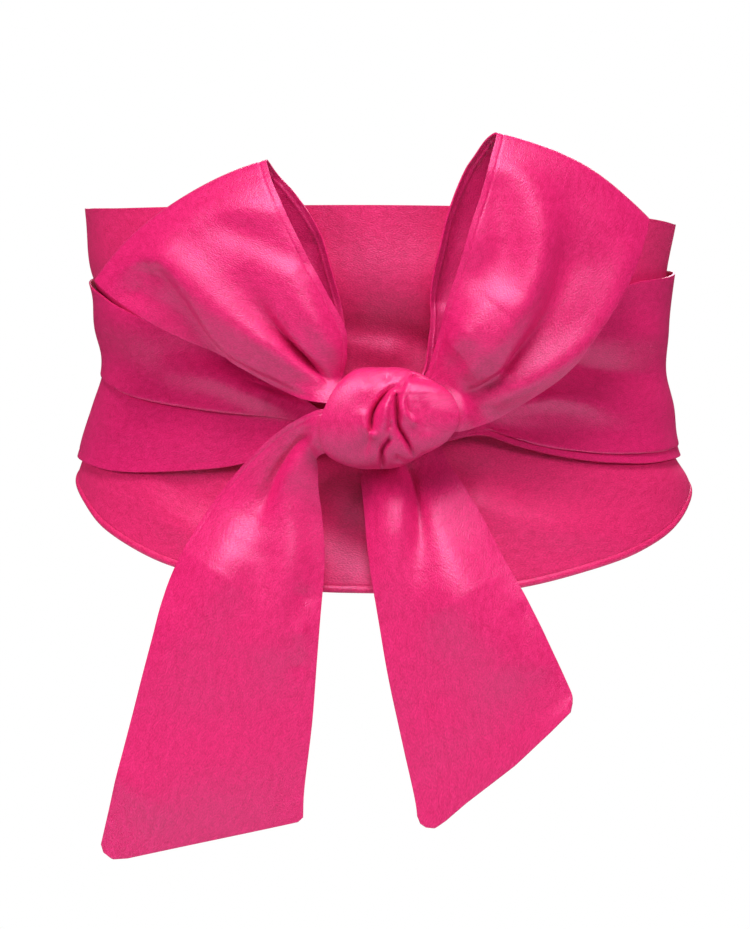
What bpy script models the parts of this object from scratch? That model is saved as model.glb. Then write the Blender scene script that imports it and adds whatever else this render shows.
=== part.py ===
"""Satin sash worn round an unseen waist: a wide panel with two long ties.

The ties are sewn to the ends of the panel. They cross at the back, come round the
sides over the panel, and are tied in front in a bow with two loops and two tails.

Sizes are in millimetres and become metres when a mesh is made. +Z is up and the
front faces -Y. The origin is the middle of the waist, at its narrowest level. Angles
run round the body from the front: a tie's own angle grows towards the side that the
tie lies on.
"""

from collections import namedtuple

import bmesh
import bpy
import numpy as np

MM = 0.001

# Driving dimensions, in millimetres
PANEL_THICK = 1.8
TIE_THICK = 1.5
KNOT_THICK = 1.6
HEM_ROLL = 0.5
HEM_ROLL_HEIGHT = 2.2
ROWS_TOWARDS_HEM = 1.35
KNOT_CENTRE = (0.0, -112.5, -20.3)
KNOT_HALF_DEPTH = 15.0
KNOT_HALF_HEIGHT = 21.0
KNOT_RIM_CURL = 2.6
ROOT_DEEP = 15.0

# Layers, as the distance from the body to the middle of the cloth
PANEL_LIFT = PANEL_THICK / 2
UNDER_LIFT = PANEL_THICK / 2

SATIN_COLOUR = (0.78, 0.02, 0.14, 1.0)
SATIN_ROUGHNESS = 0.42
SATIN_METALLIC = 0.0

# A general waist and hip at heights above the waist: how far it reaches to each side of
# the picture, and to the front
BodyRow = namedtuple("BodyRow", "z left right depth")
BODY = [
    BodyRow(-100, 142.0, 141.0, 103.0),
    BodyRow(-75, 139.3, 138.0, 100.0),
    BodyRow(-58, 136.5, 135.6, 97.5),
    BodyRow(-46, 135.0, 133.4, 95.0),
    BodyRow(-36, 131.8, 127.4, 93.2),
    BodyRow(-28, 129.8, 124.9, 91.3),
    BodyRow(-14, 125.4, 123.2, 88.5),
    BodyRow(0, 121.4, 120.0, 87.0),
    BodyRow(20, 123.6, 121.2, 88.0),
    BodyRow(34, 124.4, 122.4, 89.5),
    BodyRow(48, 128.2, 124.2, 91.2),
    BodyRow(70, 130.8, 128.4, 92.5),
    BodyRow(95, 133.0, 130.5, 94.0),
]

# The panel's lower and upper edge at an angle from the front, negative to the left
PanelRow = namedtuple("PanelRow", "angle low high")
PANEL = [
    PanelRow(-140, -36.0, 4.0),
    PanelRow(-125, -37.5, 34.0),
    PanelRow(-110, -40.0, 61.0),
    PanelRow(-95, -43.0, 73.0),
    PanelRow(-80, -50.5, 73.0),
    PanelRow(-60, -67.5, 71.6),
    PanelRow(-40, -82.8, 70.9),
    PanelRow(-20, -91.5, 70.6),
    PanelRow(0, -94.2, 70.4),
    PanelRow(20, -93.2, 70.0),
    PanelRow(40, -84.0, 69.0),
    PanelRow(60, -71.5, 67.6),
    PanelRow(80, -56.0, 66.4),
    PanelRow(95, -47.5, 66.0),
    PanelRow(110, -42.0, 56.0),
    PanelRow(125, -39.0, 33.0),
    PanelRow(140, -36.0, 4.0),
]

# A tie round the body: its edges, its lift off the body, and the height of its pleat.
# Below the pleat the cloth lies closer to the body than it does above.
WrapRow = namedtuple("WrapRow", "angle low high lift pleat")
WRAP_LEFT = [
    WrapRow(20, -36.5, -2.0, 9.5, 1.2),
    WrapRow(28, -40.4, 6.0, 6.2, 2.4),
    WrapRow(40, -42.6, 15.0, 4.3, 3.2),
    WrapRow(57, -42.8, 26.0, 3.8, 2.8),
    WrapRow(75, -38.6, 35.4, 3.8, 1.6),
    WrapRow(92, -35.0, 41.7, 3.8, 0.7),
    WrapRow(115, -28.0, 46.0, 3.6, 0.3),
    WrapRow(132, -14.0, 44.0, 3.4, 0.0),
    WrapRow(147, 1.0, 38.0, 3.1, 0.0),
    WrapRow(156, 2.5, 34.0, 1.8, 0.0),
    WrapRow(163, 0.0, 31.0, UNDER_LIFT, 0.0),
    WrapRow(180, -16.0, 16.0, UNDER_LIFT, 0.0),
    WrapRow(197, -31.0, 0.0, UNDER_LIFT, 0.0),
    WrapRow(207, -36.0, -2.5, UNDER_LIFT, 0.0),
    WrapRow(219.7, -36.0, 4.0, UNDER_LIFT, 0.0),
]
WRAP_RIGHT = [
    WrapRow(20, -27.8, 2.0, 8.6, 0.6),
    WrapRow(27, -32.8, 12.0, 6.0, 1.4),
    WrapRow(42, -38.3, 28.0, 4.0, 1.8),
    WrapRow(53, -39.3, 36.5, 3.9, 1.8),
    WrapRow(75, -37.2, 42.5, 4.1, 1.3),
    WrapRow(92, -34.5, 46.0, 3.9, 0.7),
    WrapRow(115, -26.0, 47.0, 3.4, 0.3),
    WrapRow(132, -13.0, 44.0, 3.2, 0.0),
    WrapRow(147, 1.0, 38.0, 3.1, 0.0),
    WrapRow(163, 0.0, 31.0, 3.1, 0.0),
    WrapRow(180, -16.0, 16.0, 3.1, 0.0),
    WrapRow(197, -31.0, 0.0, 3.0, 0.0),
    WrapRow(205, -34.5, -2.5, 1.8, 0.0),
    WrapRow(212, -36.0, -1.0, UNDER_LIFT, 0.0),
    WrapRow(219.7, -36.0, 4.0, UNDER_LIFT, 0.0),
]
# Share of the tie's height where the pleat's step lies
PLEAT_LEFT = 0.47
PLEAT_RIGHT = 0.05
PLEAT_STEP_WIDTH = 0.024

# The knot's band at an angle round its middle: 0 faces the front and 90 is the top
KnotRow = namedtuple("KnotRow", "angle left right")
KNOT = [
    KnotRow(-90, -14.0, 6.0),
    KnotRow(-60, -23.0, 14.0),
    KnotRow(-30, -26.5, 26.0),
    KnotRow(0, -26.3, 31.0),
    KnotRow(30, -22.5, 28.0),
    KnotRow(60, -17.5, 19.0),
    KnotRow(90, -14.5, 12.0),
    KnotRow(135, -19.0, 20.0),
    KnotRow(180, -22.0, 24.0),
    KnotRow(225, -19.0, 18.0),
    KnotRow(270, -14.0, 6.0),
]

# A cross-section of a loop or tail: both edges, how far its middle stands out towards the
# front, and how far it stands away from the knot. A loop runs out from the knot in front
# and comes back behind.
BandRow = namedtuple("BandRow", "low_x low_y low_z high_x high_y high_z bulge crown")
LOOP_LEFT = [
    BandRow(-45, -113, -8.5, -16.6, -118, 16.0, 4.0, 0.0),
    BandRow(-64, -109, 1.3, -23.8, -120, 31.0, 7.0, 0.0),
    BandRow(-87, -103, 13.0, -34.4, -120, 51.5, 8.0, 1.0),
    BandRow(-108, -96, 25.5, -43.6, -115, 70.5, 6.0, 4.0),
    BandRow(-119.5, -89, 34.0, -48.0, -109, 81.5, 4.0, 6.5),
    BandRow(-124.0, -81, 39.0, -49.5, -102, 88.5, 3.0, 7.5),
    BandRow(-121, -73, 37.5, -46.0, -97, 84.0, 1.0, 6.0),
    BandRow(-107, -70, 29.0, -38.5, -97, 76.0, -1.0, 3.0),
    BandRow(-85, -79, 16.0, -27.8, -100, 59.5, -2.0, 0.0),
    BandRow(-61, -89, 4.0, -21.8, -102, 40.0, -1.0, 0.0),
    BandRow(-43, -99, -6.0, -17.0, -104, 20.0, 0.0, 0.0),
]
LOOP_RIGHT = [
    BandRow(43.5, -112, -22.3, 22.4, -118, 12.0, 5.0, 0.0),
    BandRow(59, -113, -13.5, 26.4, -123, 28.5, 7.0, 0.0),
    BandRow(74, -111, -1.5, 32.0, -125, 46.0, 7.0, 0.0),
    BandRow(86.5, -108, 14.0, 36.0, -125, 60.0, 6.0, 1.0),
    BandRow(98.5, -102, 32.0, 40.5, -123, 74.0, 5.0, 2.5),
    BandRow(108.5, -94, 51.0, 44.6, -119, 89.2, 4.0, 4.5),
    BandRow(112.4, -84, 65.2, 47.0, -112, 100.2, 3.0, 6.0),
    BandRow(109.0, -75, 61.4, 43.0, -107, 97.8, 1.0, 4.5),
    BandRow(100, -71, 47.0, 35.2, -105, 85.5, -1.0, 2.0),
    BandRow(89, -75, 29.0, 29.0, -106, 71.0, -2.0, 0.0),
    BandRow(74, -85, 11.0, 23.4, -107, 52.5, -2.0, 0.0),
    BandRow(57, -95, -5.0, 19.8, -107, 35.0, -1.0, 0.0),
    BandRow(42, -101, -14.0, 18.8, -107, 16.0, 0.0, 0.0),
]
TAIL_LEFT = [
    BandRow(-38, -118, -21.6, -28.5, -113, -37.0, 1.5, 0.0),
    BandRow(-54.5, -110, -34.4, -28.4, -111, -47.5, 3.0, 0.0),
    BandRow(-69, -103, -51.8, -26.8, -109, -60.0, 5.0, 0.0),
    BandRow(-87, -108, -82.0, -25.2, -111, -80.0, 7.0, 0.0),
    BandRow(-97.4, -115, -113.6, -27.6, -115, -109.5, 5.0, 0.0),
    BandRow(-106.8, -116, -148.5, -30.0, -116, -144.0, 3.0, 0.0),
    BandRow(-117, -115.5, -190.0, -34.0, -115, -180.0, 2.0, 0.0),
]
TAIL_RIGHT = [
    BandRow(-11.5, -95.4, -24.0, 22.0, -95.4, -24.0, 0.0, 0.0),
    BandRow(-10.4, -98.0, -43.4, 26.0, -97.0, -37.0, 1.5, 0.0),
    BandRow(-8.8, -102, -56.0, 37.5, -101.0, -55.0, 4.0, 0.0),
    BandRow(-6.0, -108, -77.5, 48.8, -106.0, -76.0, 5.5, 0.0),
    BandRow(-4.0, -112, -95.0, 57.5, -110.0, -91.8, 5.0, 0.0),
    BandRow(2.2, -114, -132.0, 69.6, -112.0, -116.0, 4.0, 0.0),
    BandRow(8.4, -114, -161.0, 76.5, -112.0, -131.0, 3.0, 0.0),
    BandRow(12.2, -114, -178.0, 79.0, -112.0, -137.0, 2.0, 0.0),
]
# The cut end of each tail, from its low edge to its high edge
EndPoint = namedtuple("EndPoint", "x z")
TAIL_DEPTH = -114.5
TAIL_LEFT_END = [
    EndPoint(-119.2, -199.4),
    EndPoint(-118.2, -202.8),
    EndPoint(-114.4, -205.8),
    EndPoint(-108.0, -205.4),
    EndPoint(-36.4, -190.0),
    EndPoint(-34.2, -188.0),
]
TAIL_RIGHT_END = [
    EndPoint(13.0, -182.0),
    EndPoint(14.3, -190.0),
    EndPoint(17.0, -192.3),
    EndPoint(21.2, -192.8),
    EndPoint(25.8, -189.6),
    EndPoint(34.6, -182.0),
    EndPoint(54.8, -166.4),
    EndPoint(70.0, -152.3),
    EndPoint(78.4, -144.0),
    EndPoint(79.2, -140.2),
]

# Where each piece leaves the knot: angles on the knot's mouth from edge to edge, and how
# far inside the knot's rim it lies
RootArc = namedtuple("RootArc", "low high gap")
LOOP_LEFT_FRONT = RootArc(22, 92, 0.5)
LOOP_LEFT_BACK = RootArc(152, 102, 0.5)
WRAP_LEFT_ROOT = RootArc(213, 170, 0.6)
TAIL_LEFT_ROOT = RootArc(12, -58, 0.0)
LOOP_RIGHT_FRONT = RootArc(-20, 80, 0.5)
LOOP_RIGHT_BACK = RootArc(144, 92, 0.6)
WRAP_RIGHT_ROOT = RootArc(220, 166, 0.6)

# A fold drawn on the front view: the points it runs through, its width there and how far
# it stands out of the cloth. A trough has a negative height. A step lifts the cloth that
# lies to the left of the way its points run, and lowers the rest.
FoldPoint = namedtuple("FoldPoint", "x z width height")
Fold = namedtuple("Fold", "kind points")
LOOP_LEFT_FOLDS = [
    Fold("ridge", [
        FoldPoint(-21, -7, 2.5, -5.0),
        FoldPoint(-42, 13, 4.0, -4.5),
        FoldPoint(-56, 29, 7.0, -2.4),
    ]),
    Fold("step", [
        FoldPoint(-122, 36, 3.0, 0.5),
        FoldPoint(-102, 43, 3.5, 1.6),
        FoldPoint(-86, 33, 3.0, 2.0),
        FoldPoint(-72, 13, 2.6, 2.0),
        FoldPoint(-58, 2, 2.6, 1.8),
        FoldPoint(-24, -15, 2.6, 1.0),
    ]),
    Fold("ridge", [
        FoldPoint(-28, -4, 4.0, 2.4),
        FoldPoint(-50, 13, 5.5, 3.4),
        FoldPoint(-70, 32, 8.0, 4.0),
        FoldPoint(-90, 54, 10.0, 3.0),
    ]),
    Fold("ridge", [
        FoldPoint(-19, 4, 4.0, 2.2),
        FoldPoint(-29, 20, 5.0, 3.0),
        FoldPoint(-38, 38, 8.0, 1.8),
    ]),
]
LOOP_RIGHT_FOLDS = [
    Fold("step", [
        FoldPoint(28, -12, 2.6, 2.0),
        FoldPoint(48, -1, 2.6, 3.0),
        FoldPoint(56, 9, 3.0, 3.0),
        FoldPoint(64, 20, 4.0, 2.6),
        FoldPoint(70, 31, 6.0, 2.0),
        FoldPoint(73, 62, 9.0, 1.4),
    ]),
    Fold("ridge", [
        FoldPoint(52, 1, 4.0, -2.2),
        FoldPoint(67, 20, 6.0, -3.2),
        FoldPoint(79, 46, 9.0, -3.2),
        FoldPoint(80, 68, 10.0, -1.6),
    ]),
    Fold("ridge", [
        FoldPoint(31, -3, 4.0, 1.3),
        FoldPoint(47, 12, 6.0, 3.4),
        FoldPoint(62, 40, 8.0, 4.2),
        FoldPoint(60, 78, 9.0, 2.2),
    ]),
    Fold("ridge", [FoldPoint(29, 13, 5.0, 2.2), FoldPoint(38, 22, 7.5, 4.2)]),
    Fold("ridge", [
        FoldPoint(36, -17, 4.0, 1.4),
        FoldPoint(58, -6, 5.5, 3.8),
        FoldPoint(78, 8, 6.5, 4.6),
        FoldPoint(98, 38, 7.5, 2.8),
    ]),
]
TAIL_LEFT_FOLDS = [
    Fold("step", [
        FoldPoint(-54, -70, 7.0, -0.6),
        FoldPoint(-47, -53, 3.5, -1.4),
        FoldPoint(-42, -41, 2.6, -1.8),
        FoldPoint(-34, -31, 2.4, -1.4),
    ]),
    Fold("ridge", [FoldPoint(-56, -62, 6.0, 1.6), FoldPoint(-70, -84, 11.0, 4.6)]),
    Fold("ridge", [FoldPoint(-40, -62, 6.0, 1.4), FoldPoint(-42, -94, 9.0, 2.4)]),
]
TAIL_RIGHT_FOLDS = [
    Fold("ridge", [
        FoldPoint(8, -42, 2.5, -2.5),
        FoldPoint(10.5, -60, 3.5, -3.0),
        FoldPoint(14, -80, 6.0, -1.5),
    ]),
    Fold("ridge", [FoldPoint(20, -70, 6.0, 2.0), FoldPoint(38, -106, 12.0, 4.8)]),
]
WRAP_LEFT_FOLDS = [
    Fold("ridge", [FoldPoint(-84, 2, 7.0, 1.8), FoldPoint(-64, -5, 6.0, 4.4),
                   FoldPoint(-38, -17, 4.0, 2.0)]),
    Fold("ridge", [FoldPoint(-58, -2, 3.0, -1.5), FoldPoint(-36, -12, 2.6, -2.0)]),
]
WRAP_RIGHT_FOLDS = [
    Fold("ridge", [FoldPoint(50, -15, 4.0, 1.6), FoldPoint(72, -10, 5.0, 3.4),
                   FoldPoint(96, -14, 6.0, 1.4)]),
    Fold("ridge", [FoldPoint(76, 3, 5.0, -1.6), FoldPoint(112, 0, 6.0, -1.6)]),
]
KNOT_FOLDS = [
    Fold("ridge", [
        FoldPoint(4, -7, 2.0, -1.5),
        FoldPoint(-1.5, -13, 2.0, -3.5),
        FoldPoint(-4.5, -18, 2.2, -5.0),
        FoldPoint(-5.5, -25, 2.2, -3.5),
    ]),
    Fold("ridge", [
        FoldPoint(5, -11, 2.0, -3.5),
        FoldPoint(5.5, -22, 2.0, -3.5),
        FoldPoint(9, -30, 2.2, -3.0),
        FoldPoint(12, -36, 2.2, -1.5),
    ]),
    Fold("ridge", [FoldPoint(1.5, -29, 2.0, -2.0), FoldPoint(-1.2, -38, 2.2, -3.5)]),
    Fold("ridge", [FoldPoint(20, -6, 2.2, -2.5), FoldPoint(13, -4, 2.2, -3.0)]),
    Fold("ridge", [FoldPoint(1, -12, 2.4, 1.4), FoldPoint(0, -25, 2.4, 1.4)]),
    Fold("ridge", [FoldPoint(8.5, -11, 2.2, 1.6), FoldPoint(10, -20, 2.2, 1.2)]),
]

# How far to each side of its line a step runs out
STEP_REACH = 14.0

# Grid sizes, in faces along and across each cloth
PANEL_GRID = (60, 12)
WRAP_GRID = (48, 11)
LOOP_GRID = (42, 12)
TAIL_GRID = (24, 9)
KNOT_FRONT_ROWS = 24
KNOT_BACK_ROWS = 10
KNOT_COLUMNS = 22


def cubic(keys, values, at):
    """Smooth curve through the values at the keys; values may be points or rows of points."""
    keys = np.asarray(keys, float)
    values = np.asarray(values, float)
    shape = (-1,) + (1,) * (values.ndim - 1)
    step = np.diff(keys).reshape(shape)
    chord = np.diff(values, axis=0) / step
    inner = (chord[:-1] * step[1:] + chord[1:] * step[:-1]) / (step[:-1] + step[1:])
    slope = np.concatenate([chord[:1], inner, chord[-1:]])
    at = np.clip(np.atleast_1d(np.asarray(at, float)), keys[0], keys[-1])
    i = np.clip(np.searchsorted(keys, at, side="right") - 1, 0, len(keys) - 2)
    t = ((at - keys[i]) / (keys[i + 1] - keys[i])).reshape(shape)
    rise = slope[i] * step[i]
    land = slope[i + 1] * step[i]
    low = values[i]
    gap = values[i + 1] - low
    return low + t * rise + t**2 * (3 * gap - 2 * rise - land) + t**3 * (rise + land - 2 * gap)


def column(table, name):
    return [getattr(row, name) for row in table]


def body_point(angle, z, lift):
    """Points at an angle from the front, a height, and a distance out from the body."""
    turn = np.radians(angle)
    heights = column(BODY, "z")
    reach = [cubic(heights, column(BODY, name), np.ravel(z)) for name in BodyRow._fields[1:]]
    left, right, depth = [value.reshape(np.shape(z)) for value in reach]
    half_width = np.where(np.sin(turn) > 0, right, left)
    x = (half_width + lift) * np.sin(turn)
    y = -(depth + lift) * np.cos(turn)
    return np.stack(np.broadcast_arrays(x, y, z), axis=-1)


def panel_points():
    """The panel, with a roll along its lower edge."""
    along, across = PANEL_GRID
    keys = column(PANEL, "angle")
    angle = np.linspace(keys[0], keys[-1], along + 1)
    low = cubic(keys, column(PANEL, "low"), angle)[:, None]
    high = cubic(keys, column(PANEL, "high"), angle)[:, None]
    above_roll = np.linspace(0, 1, across - 1) ** ROWS_TOWARDS_HEM
    z = np.concatenate(
        [low, low + HEM_ROLL_HEIGHT, low + 1.5 * HEM_ROLL_HEIGHT * (1 - above_roll)
         + (high - low) * above_roll],
        axis=1,
    )
    lift = np.full(z.shape, PANEL_LIFT)
    lift[:, :2] += HEM_ROLL
    return body_point(angle[:, None], z, lift)


def mouth_arc(x, root, count):
    """A strip lying against the inside of the knot's band, across its mouth."""
    turn = np.radians(np.linspace(root.low, root.high, count))
    inset = KNOT_RIM_CURL + KNOT_THICK / 2 + root.gap + TIE_THICK / 2
    y = KNOT_CENTRE[1] - (KNOT_HALF_DEPTH - inset) * np.cos(turn)
    z = KNOT_CENTRE[2] + (KNOT_HALF_HEIGHT - inset) * np.sin(turn)
    return np.stack([np.full(count, float(x)), y, z], axis=-1)


def rim_arc(root, side, past, count):
    """The same strip where it passes the knot's rim on one side, and a bit past it."""
    keys = column(KNOT, "angle")
    name = "left" if side < 0 else "right"
    angles = np.linspace(root.low, root.high, count)
    rim = cubic(keys, column(KNOT, name), angles)
    points = mouth_arc(0, root, count)
    points[:, 0] = rim + side * past
    return points


def root_rows(root, side, count):
    """From deep inside the knot to just outside its rim."""
    rim = rim_arc(root, side, 1.5, count)
    deep = rim.copy()
    deep[:, 0] -= side * ROOT_DEEP * 0.8
    half = (rim + deep) / 2
    return [deep, half, rim]


def band_row(row, side, count):
    """A cross-section of a loop or tail, from its low edge to its high edge."""
    low = np.array([row.low_x, row.low_y, row.low_z], float)
    high = np.array([row.high_x, row.high_y, row.high_z], float)
    t = np.linspace(0, 1, count)[:, None]
    arch = 4 * t * (1 - t)
    outward = np.array([-(high - low)[2], 0, (high - low)[0]]) * -side
    outward /= np.linalg.norm(outward)
    return low + (high - low) * t + arch * (row.crown * outward + (0, -row.bulge, 0))


def end_row(points, count):
    """A tail's cut end, with its points spread evenly along the edge."""
    line = np.array([[p.x, TAIL_DEPTH, p.z] for p in points])
    keys = np.concatenate([[0], np.cumsum(np.linalg.norm(np.diff(line, axis=0), axis=1))])
    even = np.linspace(0, keys[-1], count)
    return np.stack([np.interp(even, keys, line[:, k]) for k in range(3)], axis=-1)


def through_rows(rows, along):
    """Smooth surface through cross-sections, spaced by the distance between them."""
    rows = np.asarray(rows, float)
    step = np.linalg.norm(np.diff(rows, axis=0), axis=2).mean(axis=1)
    keys = np.concatenate([[0], np.cumsum(step)])
    return cubic(keys, rows, np.linspace(0, keys[-1], along + 1))


def surface_normals(points):
    along = np.gradient(points, axis=0)
    across = np.gradient(points, axis=1)
    normal = np.cross(along, across)
    return normal / np.linalg.norm(normal, axis=2, keepdims=True)


def fold_height(points, fold, least_width):
    """How far a fold lifts each point, from where the point lies on the front view."""
    flat = points[..., [0, 2]]
    keys = np.arange(len(fold.points))
    at = np.linspace(0, keys[-1], 24)
    line = cubic(keys, np.array([[p.x, p.z] for p in fold.points]), at)
    run = np.gradient(line, axis=0)
    away = flat[..., None, :] - line
    nearest = np.linalg.norm(away, axis=-1).argmin(axis=-1)
    offset = np.take_along_axis(away, nearest[..., None, None], axis=-2)[..., 0, :]
    distance = np.linalg.norm(offset, axis=-1)
    width = np.maximum(np.interp(at, keys, column(fold.points, "width")), least_width)[nearest]
    height = np.interp(at, keys, column(fold.points, "height"))[nearest]
    if fold.kind == "ridge":
        return height * np.exp(-((distance / width) ** 2))
    turn = run[nearest][..., 0] * offset[..., 1] - run[nearest][..., 1] * offset[..., 0]
    side = turn / np.linalg.norm(run[nearest], axis=-1)
    return height * np.tanh(side / width) * np.exp(-((distance / STEP_REACH) ** 2))


def with_folds(points, folds, least_width, start, end):
    """The cloth with its folds, between a start and an end share of its rows."""
    lift = sum(fold_height(points, fold, least_width) for fold in folds)
    place = np.linspace(0, 1, points.shape[0])[:, None]
    fade = np.clip((end - place) / 0.06, 0, 1) * np.clip((place - start) / 0.06, 0, 1)
    normal = surface_normals(points)
    facing = -np.sign(normal[..., 1:2])
    return points + normal * facing * (lift * fade)[..., None]


def loop_points(rows, front, back, side, folds):
    along, across = LOOP_GRID
    count = across + 1
    sections = root_rows(front, side, count)
    sections += [band_row(row, side, count) for row in rows]
    sections += root_rows(back, side, count)[::-1]
    return with_folds(through_rows(sections, along), folds, 2.6, 0.1, 0.46)


def tail_left_points():
    along, across = TAIL_GRID
    count = across + 1
    sections = root_rows(TAIL_LEFT_ROOT, -1, count)
    sections += [band_row(row, -1, count) for row in TAIL_LEFT]
    sections.append(end_row(TAIL_LEFT_END, count))
    return with_folds(through_rows(sections, along), TAIL_LEFT_FOLDS, 2.6, 0.1, 1.1)


def tail_right_points():
    along, across = TAIL_GRID
    count = across + 1
    sections = [band_row(row, 1, count) for row in TAIL_RIGHT]
    sections.append(end_row(TAIL_RIGHT_END, count))
    return with_folds(through_rows(sections, along), TAIL_RIGHT_FOLDS, 2.6, 0.1, 1.1)


def wrap_points(rows, root, side, pleat, folds):
    """A tie from inside the knot, along the body and round to the seam at the back."""
    along, across = WRAP_GRID
    count = across + 1
    below = max(2, round(count * pleat))
    share = np.concatenate(
        [
            np.linspace(0, pleat - PLEAT_STEP_WIDTH / 2, below),
            np.linspace(pleat + PLEAT_STEP_WIDTH / 2, 1, count - below),
        ]
    )
    keys = column(rows, "angle")
    angles = np.linspace(keys[0], keys[-1], 49)[:, None]
    low, high, lift, step = [
        cubic(keys, column(rows, name), angles.ravel())[:, None] for name in WrapRow._fields[1:]
    ]
    body = body_point(side * angles, low + (high - low) * share, lift + step * (share > pleat))
    points = through_rows(root_rows(root, side, count) + list(body), along)
    return with_folds(points, folds, 2.6, 0.08, 0.4)


def knot_points():
    """The band round the knot: a tube across the front, its rims curled in."""
    front_angle = np.linspace(-90, 90, KNOT_FRONT_ROWS + 1)
    angle = np.append(front_angle, np.linspace(90, 270, KNOT_BACK_ROWS + 1)[1:])
    keys = column(KNOT, "angle")
    left = cubic(keys, column(KNOT, "left"), angle)[:, None]
    right = cubic(keys, column(KNOT, "right"), angle)[:, None]
    share = np.linspace(-1, 1, KNOT_COLUMNS + 1)
    x = (left + right) / 2 + (right - left) / 2 * share
    inset = KNOT_RIM_CURL * np.abs(share) ** 5
    turn = np.radians(angle)[:, None]
    y = KNOT_CENTRE[1] - (KNOT_HALF_DEPTH - inset) * np.cos(turn)
    z = KNOT_CENTRE[2] + (KNOT_HALF_HEIGHT - inset) * np.sin(turn)
    points = np.stack(np.broadcast_arrays(x, y, z), axis=-1)
    lift = sum(fold_height(points, fold, 1.8) for fold in KNOT_FOLDS)
    front = np.clip(np.cos(turn) * 2, 0, 1) * (1 - share**4)
    points[..., 1] -= lift * front
    return points


def satin():
    material = bpy.data.materials.new("satin")
    material.use_nodes = True
    shader = material.node_tree.nodes["Principled BSDF"]
    shader.inputs["Base Color"].default_value = SATIN_COLOUR
    shader.inputs["Roughness"].default_value = SATIN_ROUGHNESS
    shader.inputs["Metallic"].default_value = SATIN_METALLIC
    return material


def cloth(name, points, thickness, group, material, closed=False):
    """A wall of cloth: a grid laid through the points, made solid on both sides of them."""
    along, across = points.shape[0] - 1, points.shape[1] - 1
    mesh = bpy.data.meshes.new(name)
    build = bmesh.new()
    bmesh.ops.create_grid(build, x_segments=along, y_segments=across, size=0.5)
    build.verts.ensure_lookup_table()
    for vert in build.verts:
        i = round((vert.co.x + 0.5) * along)
        j = round((vert.co.y + 0.5) * across)
        vert.co = points[i, j] * MM
    if closed:
        bmesh.ops.remove_doubles(build, verts=build.verts, dist=0.00001)
    bmesh.ops.recalc_face_normals(build, faces=build.faces)
    build.to_mesh(mesh)
    build.free()
    mesh.shade_smooth()
    piece = bpy.data.objects.new(name, mesh)
    piece.data.materials.append(material)
    group.objects.link(piece)
    wall = piece.modifiers.new("Wall", "SOLIDIFY")
    wall.thickness = thickness * MM
    wall.offset = 0.0
    return piece


def main():
    for old in list(bpy.data.objects):
        bpy.data.objects.remove(old)
    group = bpy.data.collections.new("satin_sash")
    bpy.context.scene.collection.children.link(group)
    material = satin()
    pieces = [
        ("waist_panel", panel_points(), PANEL_THICK),
        (
            "wrap_left",
            wrap_points(WRAP_LEFT, WRAP_LEFT_ROOT, -1, PLEAT_LEFT, WRAP_LEFT_FOLDS),
            TIE_THICK,
        ),
        (
            "wrap_right",
            wrap_points(WRAP_RIGHT, WRAP_RIGHT_ROOT, 1, PLEAT_RIGHT, WRAP_RIGHT_FOLDS),
            TIE_THICK,
        ),
        (
            "loop_left",
            loop_points(LOOP_LEFT, LOOP_LEFT_FRONT, LOOP_LEFT_BACK, -1, LOOP_LEFT_FOLDS),
            TIE_THICK,
        ),
        (
            "loop_right",
            loop_points(LOOP_RIGHT, LOOP_RIGHT_FRONT, LOOP_RIGHT_BACK, 1, LOOP_RIGHT_FOLDS),
            TIE_THICK,
        ),
        ("tail_left", tail_left_points(), TIE_THICK),
        ("tail_right", tail_right_points(), TIE_THICK),
    ]
    for name, points, thickness in pieces:
        cloth(name, points, thickness, group, material)
    cloth("knot", knot_points(), KNOT_THICK, group, material, closed=True)


main()
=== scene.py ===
# %% [markdown]
# The satin sash
#
# This sash is a wide panel of satin that goes round a waist, held by two long ties.
# The ties cross at the back, come round the sides over the panel, and end in front in
# a bow with two standing loops and two hanging tails.
#
# Cloth like this could be left to a simulation, but a tied bow is hard to simulate
# and harder to steer. Here each piece of cloth is a fine grid that is laid through a
# few cross-sections, and the folds are pressed into it afterwards.

# %% Load the frame
import math
from collections import namedtuple

import bpy
import numpy as np
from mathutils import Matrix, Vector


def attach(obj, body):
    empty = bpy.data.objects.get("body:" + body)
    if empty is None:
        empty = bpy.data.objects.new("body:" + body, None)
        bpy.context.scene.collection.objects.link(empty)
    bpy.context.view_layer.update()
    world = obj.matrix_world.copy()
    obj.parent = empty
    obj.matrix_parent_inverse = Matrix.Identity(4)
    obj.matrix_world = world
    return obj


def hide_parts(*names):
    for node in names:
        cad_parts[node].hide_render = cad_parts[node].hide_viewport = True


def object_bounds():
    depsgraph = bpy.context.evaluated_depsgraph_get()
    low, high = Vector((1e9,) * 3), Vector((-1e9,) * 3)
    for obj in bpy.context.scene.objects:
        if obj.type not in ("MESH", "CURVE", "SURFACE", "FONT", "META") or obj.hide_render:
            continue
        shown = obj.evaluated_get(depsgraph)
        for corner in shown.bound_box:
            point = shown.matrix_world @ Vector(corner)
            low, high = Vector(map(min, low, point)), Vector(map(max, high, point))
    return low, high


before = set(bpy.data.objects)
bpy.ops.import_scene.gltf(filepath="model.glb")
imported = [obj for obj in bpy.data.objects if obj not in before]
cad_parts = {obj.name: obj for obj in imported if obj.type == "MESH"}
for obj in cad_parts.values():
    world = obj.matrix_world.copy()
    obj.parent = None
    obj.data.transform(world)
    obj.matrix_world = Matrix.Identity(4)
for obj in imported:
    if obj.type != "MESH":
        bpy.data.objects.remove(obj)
cad_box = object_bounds()
print("nodes:", ", ".join(sorted(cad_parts)))

MM = 0.001
PANEL_THICK = 1.3
TIE_THICK = 0.9
KNOT_THICK = 1.0
EDGE_ROUND = 0.28

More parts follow.
